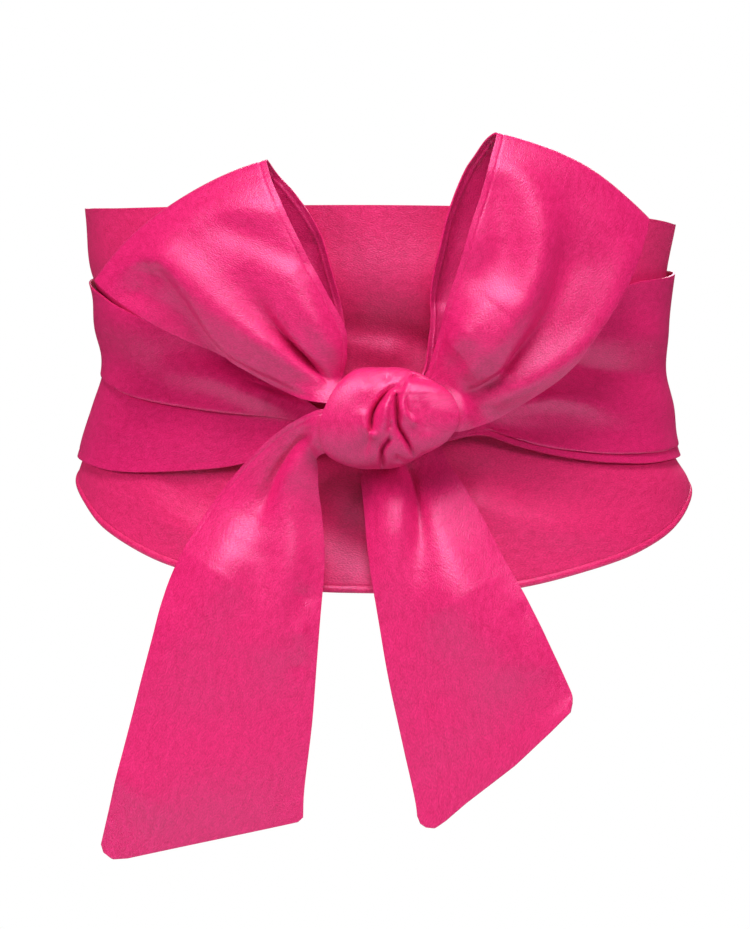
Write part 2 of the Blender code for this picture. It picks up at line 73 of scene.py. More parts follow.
# %% [markdown]
# Curves through a few numbers
#
# A garment maker draws a smooth line through a few measured marks. The same is done
# here: a short table holds the marks, and a cubic curve runs through them. Any
# number of points can then be read from it, few for a draft and many for a fine mesh.

# %% Smooth lines through marks
def cubic(keys, values, at):
    """Smooth curve through the values at the keys; values may be points or rows of points."""
    keys = np.asarray(keys, float)
    values = np.asarray(values, float)
    shape = (-1,) + (1,) * (values.ndim - 1)
    step = np.diff(keys).reshape(shape)
    chord = np.diff(values, axis=0) / step
    inner = (chord[:-1] * step[1:] + chord[1:] * step[:-1]) / (step[:-1] + step[1:])
    slope = np.concatenate([chord[:1], inner, chord[-1:]])
    at = np.clip(np.atleast_1d(np.asarray(at, float)), keys[0], keys[-1])
    i = np.clip(np.searchsorted(keys, at, side="right") - 1, 0, len(keys) - 2)
    t = ((at - keys[i]) / (keys[i + 1] - keys[i])).reshape(shape)
    rise = slope[i] * step[i]
    land = slope[i + 1] * step[i]
    low = values[i]
    gap = values[i + 1] - low
    return low + t * rise + t**2 * (3 * gap - 2 * rise - land) + t**3 * (rise + land - 2 * gap)


def column(table, name):
    return [getattr(row, name) for row in table]


def spread(count, margin, inside):
    """Shares from 0 to 1 across a cloth, crowded near both edges where the sewing is."""
    middle = count - 2 * inside
    parts = [
        np.linspace(0, margin, inside + 1)[:-1],
        np.linspace(margin, 1 - margin, middle + 1),
        np.linspace(1 - margin, 1, inside + 1)[1:],
    ]
    return np.concatenate(parts)


def through_rows(rows, along):
    """Smooth surface through cross-sections, spaced by the distance between them."""
    rows = np.asarray(rows, float)
    step = np.linalg.norm(np.diff(rows, axis=0), axis=2).mean(axis=1)
    keys = np.concatenate([[0], np.cumsum(step)])
    return cubic(keys, rows, np.linspace(0, keys[-1], along + 1))


print("a curve through 0, 1, 0 is", float(cubic([0, 1, 2], [0, 1, 0], 0.5)[0]), "at 0.5")

# %% [markdown]
# The body that nobody sees
#
# A worn sash keeps the form of a waist and the start of the hips. That form is never
# built. It is a rule that says how far the cloth stands out at each height, to the
# left, to the right and in front. An ellipse joins these reaches.

# %% Waist and hip
BodyRow = namedtuple("BodyRow", "z left right depth")
BODY = [
    BodyRow(-100, 142.0, 141.0, 103.0),
    BodyRow(-75, 139.3, 138.0, 100.0),
    BodyRow(-58, 136.5, 135.6, 97.5),
    BodyRow(-46, 135.0, 133.4, 95.0),
    BodyRow(-36, 131.8, 127.4, 93.2),
    BodyRow(-28, 129.8, 124.9, 91.3),
    BodyRow(-14, 125.4, 123.2, 88.5),
    BodyRow(0, 121.4, 120.0, 87.0),
    BodyRow(20, 123.6, 121.2, 88.0),
    BodyRow(34, 124.4, 122.4, 89.5),
    BodyRow(48, 128.2, 124.2, 91.2),
    BodyRow(70, 130.8, 128.4, 92.5),
    BodyRow(95, 133.0, 130.5, 94.0),
]


def body_point(angle, z, lift):
    """Points at an angle from the front, a height, and a distance out from the body."""
    turn = np.radians(angle)
    heights = column(BODY, "z")
    reach = [cubic(heights, column(BODY, name), np.ravel(z)) for name in BodyRow._fields[1:]]
    left, right, depth = [value.reshape(np.shape(z)) for value in reach]
    half_width = np.where(np.sin(turn) > 0, right, left)
    x = (half_width + lift) * np.sin(turn)
    y = -(depth + lift) * np.cos(turn)
    return np.stack(np.broadcast_arrays(x, y, z), axis=-1)


print("half width at the waist:", body_point(np.array([90.0]), np.array([0.0]), 0)[0, 0], "mm")

# %% [markdown]
# Folds
#
# Satin shows its form by its folds, so they matter more than anything else here. A
# fold is drawn on the front view as a line with a few marks. Each mark has a width
# and a height, so that a fold can start narrow and deep at the knot and run out wide
# and shallow. There are three kinds: a ridge (a trough when its height is negative),
# a step where one side of the line stands higher, and a pinch, which is a sharp line.

# %% Press folds into a cloth
FoldPoint = namedtuple("FoldPoint", "x z width height")
Fold = namedtuple("Fold", "kind points")
FOLD_MARKS = 60
STEP_REACH = 14.0


def fold_height(points, fold):
    """How far a fold lifts each point, from where the point lies on the front view."""
    flat = points[..., [0, 2]]
    keys = np.arange(len(fold.points))
    at = np.linspace(0, keys[-1], FOLD_MARKS)
    line = cubic(keys, np.array([[p.x, p.z] for p in fold.points]), at)
    run = np.gradient(line, axis=0)
    pace = np.linalg.norm(run, axis=-1)
    away = flat[..., None, :] - line
    nearest = (away**2).sum(axis=-1).argmin(axis=-1)
    offset = np.take_along_axis(away, nearest[..., None, None], axis=-2)[..., 0, :]
    ahead = (run / pace[:, None])[nearest]
    along = (offset * ahead).sum(axis=-1)
    half_pace = pace[nearest] / 2
    offset = offset - ahead * np.clip(along, -half_pace, half_pace)[..., None]
    distance = np.linalg.norm(offset, axis=-1)
    width = np.interp(at, keys, column(fold.points, "width"))[nearest]
    height = np.interp(at, keys, column(fold.points, "height"))[nearest]
    if fold.kind == "ridge":
        return height * np.exp(-((distance / width) ** 2))
    if fold.kind == "pinch":
        return height * np.exp(-np.sqrt((distance / width) ** 2 + 0.09) + 0.3)
    side = ahead[..., 0] * offset[..., 1] - ahead[..., 1] * offset[..., 0]
    return height * np.tanh(side / width) * np.exp(-((distance / STEP_REACH) ** 2))


def surface_normals(points):
    along = np.gradient(points, axis=0)
    across = np.gradient(points, axis=1)
    normal = np.cross(along, across)
    length = np.linalg.norm(normal, axis=2, keepdims=True)
    return normal / np.maximum(length, 1e-9)


def with_folds(points, folds, start, end, fade=0.06, outward=None):
    """The cloth with its folds, between a start and an end share of its rows."""
    lift = sum(fold_height(points, fold) for fold in folds)
    place = np.linspace(0, 1, points.shape[0])[:, None]
    ramp = np.clip((end - place) / fade, 0, 1) * np.clip((place - start) / fade, 0, 1)
    if outward is None:
        normal = surface_normals(points)
        towards_front = -np.sign((normal[..., 1] * ramp).sum())
        outward = normal * towards_front
    return points + outward * (lift * ramp)[..., None]


def with_ripple(points, height, length, seed):
    """Cloth is never quite even: a few long, low waves, which differ from piece to piece."""
    draw = np.random.default_rng(seed)
    lift = np.zeros(points.shape[:2])
    for octave in range(5):
        way = draw.normal(size=3)
        way /= np.linalg.norm(way)
        wave = length * (0.55 + 0.3 * octave)
        lift += height / 5 * np.sin(2 * math.pi * (points @ way) / wave + draw.uniform(0, 6))
    return points + surface_normals(points) * lift[..., None]


print("a ridge is", fold_height(np.zeros((1, 1, 3)), Fold("ridge", [
    FoldPoint(-1, 0, 1, 2), FoldPoint(1, 0, 1, 2)]))[0, 0], "mm high on its line")

# %% [markdown]
# Sewing along an edge
#
# The ties are sewn as flat tubes and turned right side out, so their edges are folds
# pressed flat. A line of stitches runs a few millimetres inside the edge. It pulls
# the cloth in, so that it shows as a fine groove with small puckers.

# %% Stitched edges
STITCH_INSET = 3.0
STITCH_WIDTH = 0.55
STITCH_LENGTH = 2.6


def with_stitching(points, low=0.1, high=0.1, inset=STITCH_INSET, low_end=1.0):
    """A groove along the low and the high edge; the low one can end part of the way."""
    step = np.linalg.norm(np.diff(points, axis=1), axis=2)
    from_low = np.concatenate([np.zeros((len(step), 1)), np.cumsum(step, axis=1)], axis=1)
    from_high = from_low[:, -1:] - from_low
    pace = np.linalg.norm(np.diff(points, axis=0), axis=2).mean(axis=1)
    along = np.concatenate([[0], np.cumsum(pace)])[:, None]
    pull = 0.75 + 0.25 * np.cos(2 * math.pi * along / STITCH_LENGTH)
    low = low * np.clip((low_end * along[-1] - along) / 12, 0, 1) if low_end < 1 else low
    lift = 0
    for depth, distance in ((low, from_low), (high, from_high)):
        lift = lift - depth * pull * np.exp(-(((distance - inset) / STITCH_WIDTH) ** 2))
    normal = surface_normals(points)
    front_half = normal[: len(normal) // 2, :, 1]
    return points - np.sign(front_half.sum()) * normal * lift[..., None]


print("stitches", STITCH_LENGTH, "mm long,", STITCH_INSET, "mm inside the edge")

# %% [markdown]
# From points to cloth
#
# Every cloth starts as a flat grid, the way a maker starts with cloth on a table. Its
# points are then laid where the sections and folds say. Its UV map is in metres on
# the flat cloth, so that the weave follows the piece round every bend. Solidify gives
# the wall its thickness, and a small bevel rounds the turned edges.

# %% Lay a cloth
def arc_lengths(points):
    """Distance along and across the cloth at each of its points."""
    along = np.linalg.norm(np.diff(points, axis=0), axis=2).mean(axis=1)
    across = np.linalg.norm(np.diff(points, axis=1), axis=2)
    u = np.concatenate([[0], np.cumsum(along)])[:, None] * np.ones(points.shape[1])
    v = np.concatenate([np.zeros((len(across), 1)), np.cumsum(across, axis=1)], axis=1)
    return u, v


def apply_modifier(piece, kind, name, **values):
    modifier = piece.modifiers.new(name, kind)
    for key, value in values.items():
        setattr(modifier, key, value)
    bpy.context.view_layer.objects.active = piece
    bpy.ops.object.modifier_apply(modifier=name)


def lay_cloth(name, points, thickness, closed=False):
    """A wall of cloth through the points, given in millimetres, with rounded edges."""
    along, across = points.shape[0] - 1, points.shape[1] - 1
    bpy.ops.object.select_all(action="DESELECT")
    bpy.ops.mesh.primitive_grid_add(x_subdivisions=along, y_subdivisions=across, size=1)
    piece = bpy.context.active_object
    piece.name = name
    piece.data.name = name
    flat = np.empty(len(piece.data.vertices) * 3)
    piece.data.vertices.foreach_get("co", flat)
    flat = flat.reshape(-1, 3)
    i = np.rint((flat[:, 0] + 0.5) * along).astype(int)
    j = np.rint((flat[:, 1] + 0.5) * across).astype(int)
    piece.data.vertices.foreach_set("co", (points[i, j] * MM).ravel())
    u, v = arc_lengths(points)
    corner = np.empty(len(piece.data.loops), int)
    piece.data.loops.foreach_get("vertex_index", corner)
    on_cloth = np.stack([u[i, j], v[i, j]], axis=-1)[corner] * MM
    piece.data.uv_layers.active.uv.foreach_set("vector", on_cloth.ravel())
    if closed:
        bpy.ops.object.mode_set(mode="EDIT")
        bpy.ops.mesh.select_all(action="SELECT")
        bpy.ops.mesh.remove_doubles(threshold=0.00001)
        bpy.ops.mesh.normals_make_consistent(inside=False)
        bpy.ops.object.mode_set(mode="OBJECT")
    apply_modifier(piece, "SOLIDIFY", "wall", thickness=thickness * MM, offset=0.0)
    apply_modifier(
        piece, "BEVEL", "edge", width=EDGE_ROUND * MM, segments=2,
        limit_method="ANGLE", angle_limit=math.radians(60),
    )
    piece.data.shade_smooth()
    bpy.ops.object.select_all(action="DESELECT")
    print(f"{name}: {len(piece.data.polygons)} faces, {u[-1, 0]:.0f} mm long, "
          f"{v[:, -1].mean():.0f} mm wide on average")
    return piece


cloths = {}

# %% [markdown]
# The waist panel
#
# The panel is one strip, lined and pressed, so it lies smoothly. Its upper edge is
# nearly level and its lower edge dips in front. The lower edge is rolled: a narrow
# welt with a line of stitches above it. Its ends narrow to the width of a tie at the
# back, where the ties are sewn on. Only long, low waves break its light.

# %% Waist panel
PANEL_GRID = (300, 110)
PANEL_LIFT = 0.9
HEM_HEIGHT = 2.4
HEM_ROLL = 0.55
PanelRow = namedtuple("PanelRow", "angle low high")
PANEL = [
    PanelRow(-140, -36.0, 4.0),
    PanelRow(-125, -37.5, 34.0),
    PanelRow(-110, -40.0, 61.0),
    PanelRow(-95, -43.0, 73.0),
    PanelRow(-80, -50.5, 73.0),
    PanelRow(-60, -67.5, 71.6),
    PanelRow(-40, -82.8, 70.9),
    PanelRow(-20, -91.5, 70.6),
    PanelRow(0, -94.2, 70.4),
    PanelRow(20, -93.2, 70.0),
    PanelRow(40, -84.0, 69.0),
    PanelRow(60, -71.5, 67.6),
    PanelRow(80, -56.0, 66.4),
    PanelRow(95, -47.5, 66.0),
    PanelRow(110, -42.0, 56.0),
    PanelRow(125, -39.0, 33.0),
    PanelRow(140, -36.0, 4.0),
]
PANEL_FOLDS = [
    Fold("ridge", [FoldPoint(-30, 40, 12, 1.6), FoldPoint(-8, 34, 17, 4.2),
                   FoldPoint(14, 36, 16, 4.0), FoldPoint(36, 44, 11, 1.4)]),
    Fold("ridge", [FoldPoint(-18, 18, 5, -0.8), FoldPoint(2, 16, 6, -1.2),
                   FoldPoint(24, 10, 6, -2.4)]),
    Fold("ridge", [FoldPoint(-14, 10, 5, 0.8), FoldPoint(2, 8, 6, 2.0)]),
    Fold("ridge", [FoldPoint(30, -42, 6, -1.4), FoldPoint(62, -50, 9, -2.4),
                   FoldPoint(98, -56, 11, -1.2)]),
    Fold("ridge", [FoldPoint(44, -58, 6, 1.0), FoldPoint(72, -66, 8, 2.4),
                   FoldPoint(100, -70, 9, 1.0)]),
    Fold("ridge", [FoldPoint(-102, -56, 7, 1.0), FoldPoint(-84, -67, 8, 2.4),
                   FoldPoint(-66, -72, 8, 1.0)]),
    Fold("ridge", [FoldPoint(-88, -50, 8, -1.8), FoldPoint(-60, -58, 9, -1.6)]),
    Fold("ridge", [FoldPoint(-96, 64, 10, 1.4), FoldPoint(-122, 50, 12, 1.2)]),
    Fold("ridge", [FoldPoint(-26, -64, 10, -2.6), FoldPoint(-8, -72, 13, -4.6),
                   FoldPoint(8, -74, 12, -3.0)]),
]


def panel_points():
    along, across = PANEL_GRID
    keys = column(PANEL, "angle")
    angle = np.linspace(keys[0], keys[-1], along + 1)
    low = cubic(keys, column(PANEL, "low"), angle)[:, None]
    high = cubic(keys, column(PANEL, "high"), angle)[:, None]
    share = spread(across, 0.045, 18)
    z = low + (high - low) * share
    above = z - low
    welt = HEM_ROLL * np.clip(1 - ((above - HEM_HEIGHT / 2) / (HEM_HEIGHT / 2)) ** 2, 0, 1)
    points = body_point(angle[:, None], z, PANEL_LIFT + welt)
    points = with_folds(points, PANEL_FOLDS, 0.1, 0.9)
    points = with_ripple(points, 0.35, 60, seed=3)
    return with_stitching(points, low=0.3, high=0.0, inset=HEM_HEIGHT + 0.5)


cloths["waist_panel"] = lay_cloth("panel_cloth", panel_points(), PANEL_THICK)

# %% [markdown]
# The ties round the sides
#
# Each tie starts inside the knot, spreads out over the panel and goes round to the
# back, where the two cross and are sewn to the panel's ends. The cloth is wider than
# the way it is pulled, so it lies in a long pleat: the upper part hangs over the lower
# part. The pleat is a real fold here, with cloth that turns under and comes back.

# %% The two wraps
WRAP_GRID = (240, 92)
UNDER_LIFT = 0.9
PLEAT_COLUMNS = 16
PLEAT_DEEP = 4.5
WRAP_OUTWARD = np.array([1 / 120.0**2, 1 / 88.0**2, 0.0])
WrapRow = namedtuple("WrapRow", "angle low high lift pleat")
WRAP_LEFT = [
    WrapRow(20, -36.5, -2.0, 9.5, 1.2),
    WrapRow(28, -40.4, 6.0, 6.2, 2.4),
    WrapRow(40, -42.6, 15.0, 4.3, 3.2),
    WrapRow(57, -42.8, 26.0, 3.8, 2.8),
    WrapRow(75, -38.6, 35.4, 3.8, 1.6),
    WrapRow(92, -35.0, 41.7, 3.8, 0.7),
    WrapRow(115, -28.0, 46.0, 3.6, 0.3),
    WrapRow(132, -14.0, 44.0, 3.4, 0.0),
    WrapRow(147, 1.0, 38.0, 3.1, 0.0),
    WrapRow(156, 2.5, 34.0, 1.8, 0.0),
    WrapRow(163, 0.0, 31.0, UNDER_LIFT, 0.0),
    WrapRow(180, -16.0, 16.0, UNDER_LIFT, 0.0),
    WrapRow(197, -31.0, 0.0, UNDER_LIFT, 0.0),
    WrapRow(207, -36.0, -2.5, UNDER_LIFT, 0.0),
    WrapRow(219.7, -36.0, 4.0, UNDER_LIFT, 0.0),
]
WRAP_RIGHT = [
    WrapRow(20, -27.8, 2.0, 8.6, 0.6),
    WrapRow(27, -32.8, 12.0, 6.0, 1.4),
    WrapRow(42, -38.3, 28.0, 4.0, 1.8),
    WrapRow(53, -39.3, 36.5, 3.9, 1.8),
    WrapRow(75, -37.2, 42.5, 4.1, 1.3),
    WrapRow(92, -34.5, 46.0, 3.9, 0.7),
    WrapRow(115, -26.0, 47.0, 3.4, 0.3),
    WrapRow(132, -13.0, 44.0, 3.2, 0.0),
    WrapRow(147, 1.0, 38.0, 3.1, 0.0),
    WrapRow(163, 0.0, 31.0, 3.1, 0.0),
    WrapRow(180, -16.0, 16.0, 3.1, 0.0),
    WrapRow(197, -31.0, 0.0, 3.0, 0.0),
    WrapRow(205, -34.5, -2.5, 1.8, 0.0),
    WrapRow(212, -36.0, -1.0, UNDER_LIFT, 0.0),
    WrapRow(219.7, -36.0, 4.0, UNDER_LIFT, 0.0),
]
PLEAT_LEFT = 0.47
PLEAT_RIGHT = 0.05
WRAP_LEFT_FOLDS = [
    Fold("ridge", [FoldPoint(-88, 1, 6.0, 1.6), FoldPoint(-72, -2, 6.0, 5.0),
                   FoldPoint(-54, -10, 5.5, 5.2), FoldPoint(-36, -19, 3.6, 2.4)]),
    Fold("ridge", [FoldPoint(-64, 4, 3.0, -1.6), FoldPoint(-50, -3, 2.6, -2.4),
                   FoldPoint(-36, -12, 2.2, -2.6)]),
    Fold("pinch", [FoldPoint(-56, -5, 0.9, -1.0), FoldPoint(-44, -9, 0.8, -1.8),
                   FoldPoint(-29, -14.6, 0.8, -1.8)]),
    Fold("ridge", [FoldPoint(-50, -8.6, 1.5, 1.0), FoldPoint(-34, -15, 1.4, 1.2)]),
    Fold("ridge", [FoldPoint(-122, 10, 9.0, -1.4), FoldPoint(-104, -4, 8.0, -1.8),
                   FoldPoint(-86, -12, 6.0, -1.4)]),
    Fold("ridge", [FoldPoint(-118, 26, 9.0, 1.6), FoldPoint(-98, 14, 8.0, 1.2)]),
    Fold("ridge", [FoldPoint(-116, -24, 6.0, 1.2), FoldPoint(-80, -32, 6.0, 1.0)]),
]
WRAP_RIGHT_FOLDS = [
    Fold("ridge", [FoldPoint(50, -15, 4.0, 1.6), FoldPoint(70, -11, 5.0, 4.6),
                   FoldPoint(86, -13, 5.0, 3.4), FoldPoint(100, -17, 6.0, 1.2)]),
    Fold("ridge", [FoldPoint(72, 5, 4.0, -2.0), FoldPoint(92, 1, 5.0, -3.2),
                   FoldPoint(112, -2, 6.0, -2.0)]),
    Fold("ridge", [FoldPoint(88, 14, 7.0, 1.6), FoldPoint(114, 16, 8.0, 2.0)]),
    Fold("pinch", [FoldPoint(58, -9.4, 1.0, -0.8), FoldPoint(66, -8, 1.1, -1.4),
                   FoldPoint(78, -8.6, 1.2, -0.4)]),
    Fold("ridge", [FoldPoint(34, -22, 3.0, -1.4), FoldPoint(66, -26, 5.0, -1.6),
                   FoldPoint(100, -27, 6.0, -1.0)]),
]


def pleat_shape():
    """The pleat's cross-section: how far up and how far out its points lie, as shares."""
    turn = np.linspace(-math.pi / 2, math.pi / 2, PLEAT_COLUMNS // 2)
    back = np.stack([1 + 0.12 * np.cos(turn), 0.2 * (1 + np.sin(turn))], axis=-1)
    lip = np.stack([-0.12 * np.cos(turn), 0.8 + 0.1 * (1 + np.sin(turn))], axis=-1)
    return np.concatenate([back, lip])


def wrap_section(low, high, lift, step, pleat, angle, side, count):
    """Rows of a tie round the body, each one a section from its low to its high edge."""
    shape = pleat_shape()
    shown = np.clip((step - 0.5) / 1.2, 0, 1)
    below = max(8, round((count - len(shape)) * pleat))
    above = count - below - len(shape)
    line = low + (high - low) * pleat
    ease = np.arange(len(shape)) * 0.12
    z = np.concatenate(
        [
            low + (line - low) * np.linspace(0, 1, below + 1)[:-1],
            line + ease + PLEAT_DEEP * shown * shape[:, 0],
            line + ease[-1] + (high - line - ease[-1]) * np.linspace(0, 1, above + 1)[1:],
        ],
        axis=1,
    )
    out = np.concatenate([np.zeros(below), shape[:, 1], np.ones(above)])
    return body_point(side * angle, z, lift + step * out)


def root_strip(root, side, past, count):
    """A strip lying inside the knot's band, moved to its rim on one side and a bit past it."""
    turn = np.radians(np.linspace(root.low, root.high, count))
    inset = KNOT_RIM_CURL + 0.8 + root.gap + 0.75
    y = KNOT_CENTRE[1] - (KNOT_HALF_DEPTH - inset) * np.cos(turn)
    z = KNOT_CENTRE[2] + (KNOT_HALF_HEIGHT - inset) * np.sin(turn)
    name = "left" if side < 0 else "right"
    rim = cubic(column(KNOT, "angle"), column(KNOT, name), np.degrees(turn))
    return np.stack([rim + side * past, y, z], axis=-1)


def root_rows(root, side, count):
    """From deep inside the knot to just outside its rim."""
    rim = root_strip(root, side, 1.5, count)
    deep = rim.copy()
    deep[:, 0] -= side * ROOT_DEEP * 0.8
    return [deep, (rim + deep) / 2, rim]


# The knot's band at an angle round its middle: 0 faces the front and 90 is the top
KNOT_CENTRE = (0.0, -112.5, -20.3)
KNOT_HALF_DEPTH = 15.0
KNOT_HALF_HEIGHT = 21.0
KNOT_RIM_CURL = 2.6
ROOT_DEEP = 15.0
KnotRow = namedtuple("KnotRow", "angle left right")
KNOT = [
    KnotRow(-90, -14.0, 6.0),
    KnotRow(-60, -23.0, 14.0),
    KnotRow(-30, -26.5, 26.0),
    KnotRow(0, -26.3, 31.0),
    KnotRow(30, -22.5, 28.0),
    KnotRow(60, -17.5, 19.0),
    KnotRow(90, -14.5, 12.0),
    KnotRow(135, -19.0, 20.0),
    KnotRow(180, -22.0, 24.0),
    KnotRow(225, -19.0, 18.0),
    KnotRow(270, -14.0, 6.0),
]
RootArc = namedtuple("RootArc", "low high gap")
WRAP_LEFT_ROOT = RootArc(213, 170, 0.6)
WRAP_RIGHT_ROOT = RootArc(220, 166, 0.6)


def wrap_points(rows, root, side, pleat, folds, seed, low_seam):
    along, across = WRAP_GRID
    keys = column(rows, "angle")
    angles = np.linspace(keys[0], keys[-1], 97)[:, None]
    low, high, lift, step = [
        cubic(keys, column(rows, name), angles.ravel())[:, None] for name in WrapRow._fields[1:]
    ]
    body = wrap_section(low, high, lift, np.maximum(step, 0), pleat, angles, side, across + 1)
    points = through_rows(root_rows(root, side, across + 1) + list(body), along)
    outward = points * WRAP_OUTWARD
    outward /= np.linalg.norm(outward, axis=2, keepdims=True)
    points = with_folds(points, folds, 0.04, 0.45, outward=outward)
    points = with_ripple(points, 0.9, 55, seed)
    return with_stitching(points, low=low_seam, high=0.0)


cloths["wrap_left"] = lay_cloth(
    "wrap_left_cloth",
    wrap_points(WRAP_LEFT, WRAP_LEFT_ROOT, -1, PLEAT_LEFT, WRAP_LEFT_FOLDS, 5, 0.25), TIE_THICK,
)
cloths["wrap_right"] = lay_cloth(
    "wrap_right_cloth",
    wrap_points(WRAP_RIGHT, WRAP_RIGHT_ROOT, 1, PLEAT_RIGHT, WRAP_RIGHT_FOLDS, 8, 0.0), TIE_THICK,
)

# %% [markdown]
# The loops
#
# A bow's loop is the tie folded over on itself. It leaves the knot in front, opens out
# to its full width, turns over at the fold, and comes back behind. Each section runs
# from the loop's low edge to its high edge and bulges to the front, so the loop stays
# hollow and its upper edges make a mouth. The folds all start at the knot, where the
# cloth is gathered, and run out over the loop.

# %% Sections of a loop or tail
BandRow = namedtuple("BandRow", "low_x low_y low_z high_x high_y high_z bulge crown")


def band_row(row, side, shares):
    """A section of a loop or tail, from its low edge to its high edge."""
    low = np.array([row.low_x, row.low_y, row.low_z], float)
    high = np.array([row.high_x, row.high_y, row.high_z], float)
    t = shares[:, None]
    arch = 4 * t * (1 - t)
    outward = np.array([-(high - low)[2], 0, (high - low)[0]]) * -side
    outward /= np.linalg.norm(outward)
    return low + (high - low) * t + arch * (row.crown * outward + (0, -row.bulge, 0))


def loop_points(rows, front, back, side, folds, back_folds, seed):
    along, across = LOOP_GRID
    shares = spread(across, 0.07, 14)
    even = np.linspace(0, 1, across + 1)
    sections = [bow_root(row, even, shares) for row in root_rows(front, side, across + 1)]
    sections += [band_row(row, side, shares) for row in rows]
    sections += [bow_root(row, even, shares) for row in root_rows(back, side, across + 1)[::-1]]
    points = through_rows(sections, along)
    points = with_folds(points, folds, 0.06, 0.47)
    points = with_folds(points, back_folds, 0.53, 0.94)
    points = with_ripple(points, 1.0, 45, seed)
    return with_stitching(points, low=0.0, high=0.35)


def bow_root(row, even, shares):
    """A root strip with its points moved to the same shares as the sections."""
    return np.stack([np.interp(shares, even, row[:, k]) for k in range(3)], axis=-1)


LOOP_GRID = (300, 112)
LOOP_LEFT = [
    BandRow(-45, -113, -8.5, -16.6, -118, 16.0, 4.0, 0.0),
    BandRow(-64, -109, 1.3, -23.8, -120, 31.0, 7.0, 0.0),
    BandRow(-87, -103, 13.0, -34.4, -120, 51.5, 8.0, 1.0),
    BandRow(-108, -96, 25.5, -43.6, -115, 70.5, 6.0, 4.0),
    BandRow(-119.5, -89, 34.0, -48.0, -109, 81.5, 4.0, 6.5),
    BandRow(-124.0, -81, 39.0, -49.5, -102, 88.5, 3.0, 7.5),
    BandRow(-121, -73, 37.5, -46.0, -97, 84.0, 1.0, 6.0),
    BandRow(-107, -70, 29.0, -38.5, -97, 76.0, -1.0, 3.0),
    BandRow(-85, -79, 16.0, -27.8, -100, 59.5, -2.0, 0.0),
    BandRow(-61, -89, 4.0, -21.8, -102, 40.0, -1.0, 0.0),
    BandRow(-43, -99, -6.0, -17.0, -104, 20.0, 0.0, 0.0),
]
LOOP_RIGHT = [
    BandRow(43.5, -112, -22.3, 22.4, -118, 12.0, 5.0, 0.0),
    BandRow(59, -113, -13.5, 26.4, -123, 28.5, 7.0, 0.0),
    BandRow(74, -111, -1.5, 32.0, -125, 46.0, 7.0, 0.0),
    BandRow(86.5, -108, 14.0, 36.0, -125, 60.0, 6.0, 1.0),
    BandRow(98.5, -102, 32.0, 40.5, -123, 74.0, 5.0, 2.5),
    BandRow(108.5, -94, 51.0, 44.6, -119, 89.2, 4.0, 4.5),
    BandRow(112.4, -84, 65.2, 47.0, -112, 100.2, 3.0, 6.0),
    BandRow(109.0, -75, 61.4, 43.0, -107, 97.8, 1.0, 4.5),
    BandRow(100, -71, 47.0, 35.2, -105, 85.5, -1.0, 2.0),
    BandRow(89, -75, 29.0, 29.0, -106, 71.0, -2.0, 0.0),
    BandRow(74, -85, 11.0, 23.4, -107, 52.5, -2.0, 0.0),
    BandRow(57, -95, -5.0, 19.8, -107, 35.0, -1.0, 0.0),
    BandRow(42, -101, -14.0, 18.8, -107, 16.0, 0.0, 0.0),
]
LOOP_LEFT_FRONT = RootArc(22, 92, 0.5)
LOOP_LEFT_BACK = RootArc(152, 102, 0.5)
LOOP_RIGHT_FRONT = RootArc(-20, 80, 0.5)
LOOP_RIGHT_BACK = RootArc(144, 92, 0.6)

# %% Left loop
LOOP_LEFT_FOLDS = [
    Fold("ridge", [
        FoldPoint(-21, -7, 1.8, -5.5),
        FoldPoint(-33, 4, 2.0, -6.0),
        FoldPoint(-42, 13, 2.6, -4.6),
        FoldPoint(-56, 29, 6.0, -2.4),
        FoldPoint(-62, 44, 9.0, -1.0),
    ]),
    Fold("step", [
        FoldPoint(-58, 34, 4.0, 0.2),
        FoldPoint(-48, 22, 1.6, 0.9),
        FoldPoint(-38, 11.4, 1.2, 1.7),
        FoldPoint(-19, -7, 1.2, 1.7),
    ]),
    Fold("step", [
        FoldPoint(-122, 36, 3.0, 0.6),
        FoldPoint(-111, 42.5, 2.4, 1.6),
        FoldPoint(-101, 44.6, 2.4, 2.2),
        FoldPoint(-91, 41, 2.2, 2.6),
        FoldPoint(-84, 32, 2.0, 2.8),
        FoldPoint(-72, 13, 1.6, 2.8),
        FoldPoint(-58, 2, 1.5, 2.6),
        FoldPoint(-24, -15, 1.5, 1.6),
    ]),
    Fold("ridge", [
        FoldPoint(-28, -4, 4.0, 2.4),
        FoldPoint(-50, 12, 5.5, 3.4),
        FoldPoint(-68, 26, 7.5, 3.2),
        FoldPoint(-92, 46, 9.0, 2.4),
    ]),
    Fold("ridge", [
        FoldPoint(-110, 34, 5.0, -1.6),
        FoldPoint(-90, 24, 7.0, -2.8),
        FoldPoint(-70, 4, 4.0, -1.8),
    ]),
    Fold("ridge", [FoldPoint(-19, 4, 4.0, 2.6), FoldPoint(-29, 20, 5.0, 3.2),
                   FoldPoint(-38, 38, 8.0, 1.8)]),
    Fold("ridge", [FoldPoint(-34, 44, 5.0, -1.2), FoldPoint(-60, 58, 8.0, -2.0),
                   FoldPoint(-82, 72, 7.0, -1.0)]),
    Fold("ridge", [FoldPoint(-48, 66, 6.0, 1.6), FoldPoint(-80, 66, 8.0, 3.0),
                   FoldPoint(-108, 48, 7.0, 2.2)]),
]
LOOP_LEFT_BACK_FOLDS = [
    Fold("ridge", [FoldPoint(-24, 2, 3.0, 3.0), FoldPoint(-52, 26, 6.0, 2.0)]),
    Fold("ridge", [FoldPoint(-22, 12, 3.0, -2.0), FoldPoint(-30, 52, 6.0, -1.5)]),
    Fold("ridge", [FoldPoint(-40, 6, 4.0, -2.5), FoldPoint(-92, 34, 8.0, -1.2)]),
]
